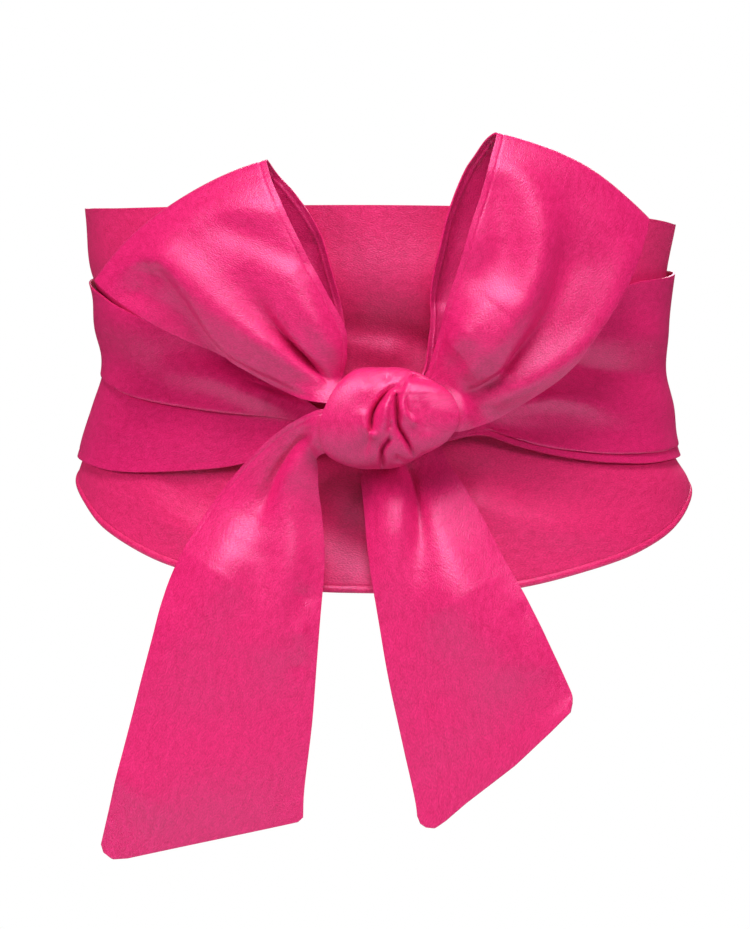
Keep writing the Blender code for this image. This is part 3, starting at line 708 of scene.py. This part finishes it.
cloths["loop_left"] = lay_cloth(
    "loop_left_cloth",
    loop_points(LOOP_LEFT, LOOP_LEFT_FRONT, LOOP_LEFT_BACK, -1,
                LOOP_LEFT_FOLDS, LOOP_LEFT_BACK_FOLDS, 11),
    TIE_THICK,
)

# %% Right loop
LOOP_RIGHT_FOLDS = [
    Fold("step", [
        FoldPoint(28, -12, 1.4, 2.4),
        FoldPoint(48, -0.6, 1.5, 3.2),
        FoldPoint(55, 8, 1.8, 3.2),
        FoldPoint(63.6, 19.4, 3.0, 2.8),
        FoldPoint(69, 29, 5.0, 2.2),
        FoldPoint(73, 50, 8.0, 2.0),
        FoldPoint(73, 70, 10.0, 1.2),
    ]),
    Fold("ridge", [
        FoldPoint(52, 1, 3.0, -2.4),
        FoldPoint(67, 20, 5.5, -3.4),
        FoldPoint(79, 46, 9.0, -3.4),
        FoldPoint(80, 68, 10.0, -1.6),
    ]),
    Fold("ridge", [
        FoldPoint(30, -4, 4.0, 2.0),
        FoldPoint(47, 12, 6.0, 3.6),
        FoldPoint(60, 34, 7.0, 4.6),
        FoldPoint(65, 58, 8.0, 4.0),
        FoldPoint(58, 82, 9.0, 1.8),
    ]),
    Fold("ridge", [
        FoldPoint(26, 6, 5.0, 3.0),
        FoldPoint(36, 15, 8.5, 6.4),
        FoldPoint(46, 26, 9.0, 3.4),
    ]),
    Fold("ridge", [
        FoldPoint(40, 40, 8.0, -1.6),
        FoldPoint(49, 52, 7.0, -2.2),
        FoldPoint(47, 74, 6.0, -1.2),
    ]),
    Fold("ridge", [
        FoldPoint(36, -17, 4.0, 1.6),
        FoldPoint(58, -6, 5.5, 4.4),
        FoldPoint(78, 8, 6.5, 5.2),
        FoldPoint(93, 26, 7.0, 4.2),
        FoldPoint(102, 48, 7.0, 2.0),
    ]),
]
LOOP_RIGHT_BACK_FOLDS = [
    Fold("ridge", [FoldPoint(26, 4, 3.0, 3.0), FoldPoint(52, 36, 7.0, 2.0)]),
    Fold("ridge", [FoldPoint(24, 30, 4.0, -1.6), FoldPoint(36, 84, 6.0, -1.6)]),
    Fold("ridge", [FoldPoint(44, 2, 4.0, -2.5), FoldPoint(90, 46, 8.0, -1.2)]),
]
cloths["loop_right"] = lay_cloth(
    "loop_right_cloth",
    loop_points(LOOP_RIGHT, LOOP_RIGHT_FRONT, LOOP_RIGHT_BACK, 1,
                LOOP_RIGHT_FOLDS, LOOP_RIGHT_BACK_FOLDS, 14),
    TIE_THICK,
)

# %% [markdown]
# The tails
#
# The tails are the ties' ends. They come out under the knot, turn down over the hem
# and hang. Their ends are cut on a slant and hemmed, with small round corners. The
# pull of the knot leaves a valley and a soft ridge that fade on the way down.

# %% Tails
TAIL_GRID = (200, 92)
TAIL_DEPTH = -114.5
EndPoint = namedtuple("EndPoint", "x z")
TAIL_LEFT = [
    BandRow(-38, -118, -21.6, -28.5, -113, -37.0, 1.5, 0.0),
    BandRow(-54.5, -110, -34.4, -28.4, -111, -47.5, 3.0, 0.0),
    BandRow(-69, -103, -51.8, -26.8, -109, -60.0, 5.0, 0.0),
    BandRow(-87, -108, -82.0, -25.2, -111, -80.0, 7.0, 0.0),
    BandRow(-97.4, -115, -113.6, -27.6, -115, -109.5, 5.0, 0.0),
    BandRow(-106.8, -116, -148.5, -30.0, -116, -144.0, 3.0, 0.0),
    BandRow(-117, -115.5, -190.0, -34.0, -115, -180.0, 2.0, 0.0),
]
TAIL_RIGHT = [
    BandRow(-11.5, -95.4, -24.0, 22.0, -95.4, -24.0, 0.0, 0.0),
    BandRow(-10.4, -98.0, -43.4, 26.0, -97.0, -37.0, 1.5, 0.0),
    BandRow(-8.8, -102, -56.0, 37.5, -101.0, -55.0, 4.0, 0.0),
    BandRow(-6.0, -108, -77.5, 48.8, -106.0, -76.0, 5.5, 0.0),
    BandRow(-4.0, -112, -95.0, 57.5, -110.0, -91.8, 5.0, 0.0),
    BandRow(2.2, -114, -132.0, 69.6, -112.0, -116.0, 4.0, 0.0),
    BandRow(8.4, -114, -161.0, 76.5, -112.0, -131.0, 3.0, 0.0),
    BandRow(12.2, -114, -178.0, 79.0, -112.0, -137.0, 2.0, 0.0),
]
TAIL_LEFT_END = [
    EndPoint(-119.2, -199.4),
    EndPoint(-118.2, -202.8),
    EndPoint(-114.4, -205.8),
    EndPoint(-108.0, -205.4),
    EndPoint(-36.4, -190.0),
    EndPoint(-34.2, -188.0),
]
TAIL_RIGHT_END = [
    EndPoint(13.9, -187.6),
    EndPoint(15.0, -190.8),
    EndPoint(17.4, -192.4),
    EndPoint(21.2, -192.8),
    EndPoint(25.8, -189.6),
    EndPoint(34.6, -182.0),
    EndPoint(54.8, -166.4),
    EndPoint(70.0, -152.3),
    EndPoint(78.4, -144.0),
    EndPoint(79.2, -140.2),
]
TAIL_LEFT_ROOT = RootArc(12, -58, 0.0)
TAIL_LEFT_FOLDS = [
    Fold("step", [
        FoldPoint(-56, -74, 7.0, -0.8),
        FoldPoint(-47, -53, 2.4, -1.8),
        FoldPoint(-42, -41, 1.6, -2.4),
        FoldPoint(-36, -32.6, 1.5, -2.2),
        FoldPoint(-27, -27, 1.5, -1.4),
    ]),
    Fold("ridge", [FoldPoint(-34, -30, 2.4, -1.6), FoldPoint(-44.5, -42, 3.2, -2.6),
                   FoldPoint(-50, -54, 4.4, -2.6), FoldPoint(-58, -72, 7.0, -1.0)]),
    Fold("ridge", [FoldPoint(-56, -62, 8.0, 1.4), FoldPoint(-70, -86, 14.0, 5.0),
                   FoldPoint(-84, -104, 14.0, 2.6)]),
    Fold("ridge", [FoldPoint(-40, -60, 5.0, 1.4), FoldPoint(-40, -84, 8.0, 2.6),
                   FoldPoint(-50, -112, 12.0, 1.6)]),
    Fold("ridge", [FoldPoint(-52, -80, 7.0, -1.2), FoldPoint(-62, -118, 11.0, -1.4)]),
    Fold("ridge", [FoldPoint(-34, -96, 4.0, -1.2), FoldPoint(-36, -110, 4.0, 0.9),
                   FoldPoint(-36, -124, 4.0, -0.8)]),
    Fold("ridge", [FoldPoint(-112, -170, 6.0, 1.0), FoldPoint(-96, -184, 8.0, 0.8)]),
]
TAIL_RIGHT_FOLDS = [
    Fold("step", [
        FoldPoint(14, -90, 8.0, 0.3),
        FoldPoint(11, -74, 5.0, 1.4),
        FoldPoint(10.6, -62, 3.0, 2.0),
        FoldPoint(9.8, -48, 2.0, 2.0),
        FoldPoint(7, -39, 1.8, 1.2),
    ]),
    Fold("ridge", [FoldPoint(9, -40, 2.4, -1.4), FoldPoint(13.4, -52, 3.0, -2.4),
                   FoldPoint(15, -66, 4.4, -2.4), FoldPoint(16, -84, 7.0, -1.0)]),
    Fold("ridge", [FoldPoint(0, -50, 6.0, 1.2), FoldPoint(2, -70, 9.0, 2.8),
                   FoldPoint(0, -98, 10.0, 0.8)]),
    Fold("ridge", [FoldPoint(20, -68, 8.0, 1.6), FoldPoint(32, -96, 14.0, 5.6),
                   FoldPoint(50, -120, 15.0, 3.0)]),
    Fold("ridge", [FoldPoint(10, -106, 12.0, -1.4), FoldPoint(22, -136, 12.0, -1.2)]),
    Fold("ridge", [FoldPoint(58, -104, 5.0, -1.0), FoldPoint(66, -124, 6.0, 1.0)]),
]


def end_row(points, shares):
    """A tail's cut end, with its points spread along the edge."""
    line = np.array([[p.x, TAIL_DEPTH, p.z] for p in points])
    keys = np.concatenate([[0], np.cumsum(np.linalg.norm(np.diff(line, axis=0), axis=1))])
    at = shares * keys[-1]
    return np.stack([np.interp(at, keys, line[:, k]) for k in range(3)], axis=-1)


def tail_points(rows, end, folds, side, seed, low_end, root=None):
    along, across = TAIL_GRID
    shares = spread(across, 0.07, 14)
    even = np.linspace(0, 1, across + 1)
    sections = []
    if root:
        sections = [bow_root(row, even, shares) for row in root_rows(root, side, across + 1)]
    sections += [band_row(row, side, shares) for row in rows]
    sections.append(end_row(end, shares))
    points = through_rows(sections, along)
    points = with_folds(points, folds, 0.06, 1.1)
    points = with_ripple(points, 1.1, 60, seed)
    return with_stitching(points, low=0.3, high=0.0, inset=2.2, low_end=low_end)


cloths["tail_left"] = lay_cloth(
    "tail_left_cloth",
    tail_points(TAIL_LEFT, TAIL_LEFT_END, TAIL_LEFT_FOLDS, -1, 21, 0.38, TAIL_LEFT_ROOT),
    TIE_THICK,
)
cloths["tail_right"] = lay_cloth(
    "tail_right_cloth",
    tail_points(TAIL_RIGHT, TAIL_RIGHT_END, TAIL_RIGHT_FOLDS, 1, 24, 0.2), TIE_THICK,
)

# %% [markdown]
# The knot
#
# The knot is the tie wound once round the roots of the loops. It is a short tube with
# its rims curled in. Pulling it tight gathers the cloth into hooked creases between
# two smooth lobes, and these creases are what makes it read as a knot. They are deep
# and narrow, so the grid is fine in front and plain behind.

# %% Knot
KNOT_FRONT_ROWS = 150
KNOT_BACK_ROWS = 30
KNOT_COLUMNS = 120
KNOT_FOLDS = [
    Fold("ridge", [
        FoldPoint(5, -7.6, 1.3, -1.2),
        FoldPoint(2.2, -8.8, 1.3, -2.2),
        FoldPoint(-1.6, -13, 1.3, -4.0),
        FoldPoint(-4.4, -18, 1.3, -5.0),
        FoldPoint(-5.4, -22.5, 1.3, -4.4),
        FoldPoint(-5.6, -25.2, 1.2, -2.6),
    ]),
    Fold("ridge", [
        FoldPoint(4.8, -11.3, 1.2, -2.6),
        FoldPoint(5.2, -18, 1.2, -4.2),
        FoldPoint(5.8, -24, 1.2, -4.2),
        FoldPoint(9.2, -29.6, 1.3, -3.4),
        FoldPoint(12, -35, 1.5, -2.0),
    ]),
    Fold("ridge", [FoldPoint(1.6, -29.4, 1.2, -2.4), FoldPoint(-1.0, -33.6, 1.3, -3.6),
                   FoldPoint(-1.0, -40, 1.5, -3.6)]),
    Fold("step", [FoldPoint(3.4, -9, 0.7, 0.6), FoldPoint(-1.2, -13.6, 0.7, 1.4),
                  FoldPoint(-4.0, -18.6, 0.7, 1.6), FoldPoint(-5.0, -24, 0.7, 0.8)]),
    Fold("ridge", [FoldPoint(2.4, -11, 1.5, 1.8), FoldPoint(1.0, -16, 1.9, 2.8),
                   FoldPoint(-0.4, -23, 2.0, 2.4), FoldPoint(-2.6, -29, 2.6, 1.2)]),
    Fold("ridge", [FoldPoint(2.0, -15, 0.9, -1.0), FoldPoint(1.8, -24, 1.0, -1.4)]),
    Fold("ridge", [FoldPoint(10.2, -6.4, 1.4, 1.8), FoldPoint(7.6, -13.6, 1.3, 2.4),
                   FoldPoint(8.6, -18.6, 1.3, 2.2), FoldPoint(11.6, -22, 1.5, 1.4)]),
    Fold("step", [FoldPoint(12, -5, 1.0, 0.8), FoldPoint(9.6, -13, 0.9, 1.4),
                  FoldPoint(11, -18.6, 1.0, 0.8)]),
    Fold("ridge", [FoldPoint(20, -5, 1.6, -2.4), FoldPoint(12.4, -3.4, 1.5, -3.2)]),
    Fold("ridge", [FoldPoint(16, -1.6, 1.4, 1.8), FoldPoint(22, -3.4, 1.4, 1.2)]),
    Fold("ridge", [FoldPoint(-4.6, -27.6, 1.5, 1.4), FoldPoint(-7.4, -25, 1.8, 1.8),
                   FoldPoint(-8.6, -20, 3.0, 1.2)]),
    Fold("ridge", [FoldPoint(0.6, -4, 2.0, -1.0), FoldPoint(-8, -8, 4.0, 0.9)]),
    Fold("ridge", [FoldPoint(14, -14, 3.0, -1.4), FoldPoint(17, -24, 4.0, -1.2)]),
    Fold("ridge", [FoldPoint(-12, -34, 4.0, -1.0), FoldPoint(-5, -31, 3.0, -1.2)]),
    Fold("ridge", [FoldPoint(5.4, -37, 1.4, -1.6), FoldPoint(10.4, -40, 1.4, -1.8)]),
]


def knot_points():
    """The band round the knot: a tube across the front, its rims curled in."""
    front_angle = np.linspace(-90, 90, KNOT_FRONT_ROWS + 1)
    angle = np.append(front_angle, np.linspace(90, 270, KNOT_BACK_ROWS + 1)[1:])
    keys = column(KNOT, "angle")
    left = cubic(keys, column(KNOT, "left"), angle)[:, None]
    right = cubic(keys, column(KNOT, "right"), angle)[:, None]
    share = np.linspace(-1, 1, KNOT_COLUMNS + 1)
    x = (left + right) / 2 + (right - left) / 2 * share
    inset = KNOT_RIM_CURL * np.abs(share) ** 5
    turn = np.radians(angle)[:, None]
    y = KNOT_CENTRE[1] - (KNOT_HALF_DEPTH - inset) * np.cos(turn)
    z = KNOT_CENTRE[2] + (KNOT_HALF_HEIGHT - inset) * np.sin(turn)
    points = np.stack(np.broadcast_arrays(x, y, z), axis=-1)
    lift = sum(fold_height(points, fold) for fold in KNOT_FOLDS)
    front = np.clip(np.cos(turn) * 2, 0, 1) * (1 - share**4)
    points[..., 1] -= lift * front
    return points


cloths["knot"] = lay_cloth("knot_cloth", knot_points(), KNOT_THICK, closed=True)

# %% [markdown]
# The weave of satin
#
# In satin the threads float over many others, so the cloth is smooth and its gloss is
# strong but soft. From a step away only a fine grain is left. This node group makes
# that grain from stretched noise on the cloth's own UV map, in metres. It puts out a
# height for a bump and a mask that varies colour and gloss a little.

# %% Weave group
THREADS_PER_METRE = 1900
SLUB_PER_METRE = 420


def weave_group():
    group = bpy.data.node_groups.new("satin weave", "ShaderNodeTree")
    group.interface.new_socket("Scale", in_out="INPUT", socket_type="NodeSocketFloat")
    group.interface.new_socket("Height", in_out="OUTPUT", socket_type="NodeSocketFloat")
    group.interface.new_socket("Mask", in_out="OUTPUT", socket_type="NodeSocketFloat")
    nodes, links = group.nodes, group.links
    inside = nodes.new("NodeGroupInput")
    outside = nodes.new("NodeGroupOutput")
    place = nodes.new("ShaderNodeTexCoord")
    size = nodes.new("ShaderNodeVectorMath")
    size.operation = "SCALE"
    links.new(place.outputs["UV"], size.inputs[0])
    links.new(inside.outputs["Scale"], size.inputs["Scale"])
    threads = nodes.new("ShaderNodeMapping")
    threads.inputs["Scale"].default_value = (THREADS_PER_METRE * 0.6, THREADS_PER_METRE, 1)
    threads.inputs["Rotation"].default_value = (0, 0, math.radians(28))
    links.new(size.outputs["Vector"], threads.inputs["Vector"])
    grain = nodes.new("ShaderNodeTexNoise")
    grain.inputs["Scale"].default_value = 1.0
    grain.inputs["Detail"].default_value = 2.0
    links.new(threads.outputs["Vector"], grain.inputs["Vector"])
    slubs = nodes.new("ShaderNodeMapping")
    slubs.inputs["Scale"].default_value = (SLUB_PER_METRE * 0.6, SLUB_PER_METRE, 1)
    links.new(size.outputs["Vector"], slubs.inputs["Vector"])
    slub = nodes.new("ShaderNodeTexNoise")
    slub.inputs["Scale"].default_value = 1.0
    slub.inputs["Detail"].default_value = 3.0
    links.new(slubs.outputs["Vector"], slub.inputs["Vector"])
    both = nodes.new("ShaderNodeMath")
    both.operation = "MULTIPLY_ADD"
    both.inputs[1].default_value = 0.5
    links.new(slub.outputs["Fac"], both.inputs[0])
    links.new(grain.outputs["Fac"], both.inputs[2])
    links.new(both.outputs["Value"], outside.inputs["Height"])
    mask = nodes.new("ShaderNodeMapRange")
    mask.inputs["From Min"].default_value = 0.5
    mask.inputs["From Max"].default_value = 1.0
    links.new(both.outputs["Value"], mask.inputs["Value"])
    links.new(mask.outputs["Result"], outside.inputs["Mask"])
    return group


weave = weave_group()
print("weave group with", len(weave.nodes), "nodes")

# %% [markdown]
# Satin
#
# The colour is a hot pink. What makes it satin is the light: broad highlights that
# turn lilac, because the threads scatter a cool sheen over the red. A medium roughness
# gives the broad highlight, and a tinted sheen gives the cool edge. Every piece is of
# the same cloth, but the lined panel is a little duller than the ties.

# %% Satin materials
def satin(name, deep, bright, roughness, grain):
    material = bpy.data.materials.new(name)
    material.use_nodes = True
    nodes, links = material.node_tree.nodes, material.node_tree.links
    shader = nodes["Principled BSDF"]
    shader.inputs["Metallic"].default_value = 0.0
    shader.inputs["IOR"].default_value = 1.6
    shader.inputs["Specular IOR Level"].default_value = 1.0
    shader.inputs["Specular Tint"].default_value = (1.0, 0.62, 1.0, 1.0)
    shader.inputs["Sheen Weight"].default_value = 0.01
    shader.inputs["Sheen Roughness"].default_value = 0.4
    shader.inputs["Sheen Tint"].default_value = (1.0, 0.4, 0.8, 1.0)
    cloth = nodes.new("ShaderNodeGroup")
    cloth.node_tree = weave
    cloth.inputs["Scale"].default_value = 1.0
    colour = nodes.new("ShaderNodeMix")
    colour.data_type = "RGBA"
    colour.inputs[6].default_value = deep
    colour.inputs[7].default_value = bright
    links.new(cloth.outputs["Mask"], colour.inputs[0])
    links.new(colour.outputs[2], shader.inputs["Base Color"])
    gloss = nodes.new("ShaderNodeMapRange")
    gloss.inputs["To Min"].default_value = roughness - 0.05
    gloss.inputs["To Max"].default_value = roughness + 0.05
    links.new(cloth.outputs["Mask"], gloss.inputs["Value"])
    links.new(gloss.outputs["Result"], shader.inputs["Roughness"])
    bump = nodes.new("ShaderNodeBump")
    bump.inputs["Strength"].default_value = grain
    bump.inputs["Distance"].default_value = 0.0002
    links.new(cloth.outputs["Height"], bump.inputs["Height"])
    links.new(bump.outputs["Normal"], shader.inputs["Normal"])
    return material


tie_satin = satin("tie satin", (0.50, 0.004, 0.078, 1), (0.78, 0.018, 0.170, 1), 0.44, 1.0)
panel_satin = satin("panel satin", (0.54, 0.008, 0.080, 1), (0.84, 0.026, 0.175, 1), 0.48, 1.0)
for node, piece in cloths.items():
    piece.data.materials.clear()
    piece.data.materials.append(panel_satin if node == "waist_panel" else tie_satin)
print("materials:", tie_satin.name, "and", panel_satin.name)

# %% [markdown]
# Telling the frame what each piece is
# Putting each cloth on the body
# Each cloth rides on the sash's one body and takes the place of its solid, which is
# hidden.

# %% Ride and replace
Cut = namedtuple("Cut", "width length share held rests_on")
for node, piece in cloths.items():
    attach(piece, "root")
    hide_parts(node)

# %% [markdown]
# Floor, light and camera
#
# The sash hangs in the air as worn, so the floor lies well below it, plain and pale.
# One large soft light above the front gives satin its broad highlights. Weaker ones in
# front and at the sides open the shadows without a highlight of their own. One from
# behind lights the back, and the room around it all is white.

# %% Floor
FLOOR_DROP = 0.16
FLOOR_RADIUS = 0.95
floor_z = cad_box[0][2] - FLOOR_DROP
bpy.ops.mesh.primitive_circle_add(
    vertices=96, radius=FLOOR_RADIUS, fill_type="NGON", location=(0, 0, floor_z),
)
floor = bpy.context.active_object
floor.name = "floor"
floor_paint = bpy.data.materials.new("pale floor")
floor_paint.use_nodes = True
paint = floor_paint.node_tree.nodes["Principled BSDF"]
paint.inputs["Base Color"].default_value = (0.5, 0.5, 0.5, 1)
paint.inputs["Roughness"].default_value = 0.9
floor.data.materials.append(floor_paint)
print("floor at", round(floor_z, 3), "m")


# %% Lights
def soft_light(name, place, target, size, power, mirrored=True):
    bpy.ops.object.light_add(type="AREA", location=place)
    light = bpy.context.active_object
    light.name = name
    light.data.shape = "DISK"
    light.data.size = size
    light.data.energy = power
    light.visible_glossy = mirrored
    way = np.array(target) - np.array(place)
    light.rotation_euler = (
        math.atan2(math.hypot(way[0], way[1]), -way[2]), 0, math.atan2(-way[0], way[1]),
    )
    return light


soft_light("top box", (0.0, -1.20, 1.90), (0, -0.1, 0), 1.2, 38)
soft_light("right box", (1.75, -1.1, 0.7), (0, -0.1, 0), 0.8, 23, mirrored=False)
soft_light("left box", (-1.75, -1.1, 0.7), (0, -0.1, 0), 0.8, 27, mirrored=False)
soft_light("front box", (0.0, -1.7, 1.5), (0, -0.1, 0), 0.9, 18, mirrored=False)
soft_light("behind", (0.2, 1.7, 1.2), (0, 0, 0), 1.2, 30)

world = bpy.context.scene.world or bpy.data.worlds.new("white room")
bpy.context.scene.world = world
world.use_nodes = True
world.node_tree.nodes.clear()
room = world.node_tree.nodes.new("ShaderNodeBackground")
room.inputs["Color"].default_value = (1, 1, 1, 1)
room.inputs["Strength"].default_value = 0.05
seen = world.node_tree.nodes.new("ShaderNodeBackground")
seen.inputs["Color"].default_value = (1, 1, 1, 1)
seen.inputs["Strength"].default_value = 1.0
ray = world.node_tree.nodes.new("ShaderNodeLightPath")
either = world.node_tree.nodes.new("ShaderNodeMixShader")
out = world.node_tree.nodes.new("ShaderNodeOutputWorld")
world.node_tree.links.new(ray.outputs["Is Camera Ray"], either.inputs[0])
world.node_tree.links.new(room.outputs[0], either.inputs[1])
world.node_tree.links.new(seen.outputs[0], either.inputs[2])
world.node_tree.links.new(either.outputs[0], out.inputs["Surface"])
bpy.context.scene.view_settings.view_transform = "Standard"

# %% Camera
CAMERA_PLACE = (-0.004, -2.1, -0.0398)
CAMERA_LENS = 183.1
bpy.ops.object.camera_add(location=CAMERA_PLACE, rotation=(math.radians(90), 0, 0))
camera = bpy.context.active_object
camera.data.lens = CAMERA_LENS
camera.data.sensor_width = 36
camera.data.clip_end = 50
bpy.context.scene.camera = camera
print("camera at", CAMERA_PLACE)
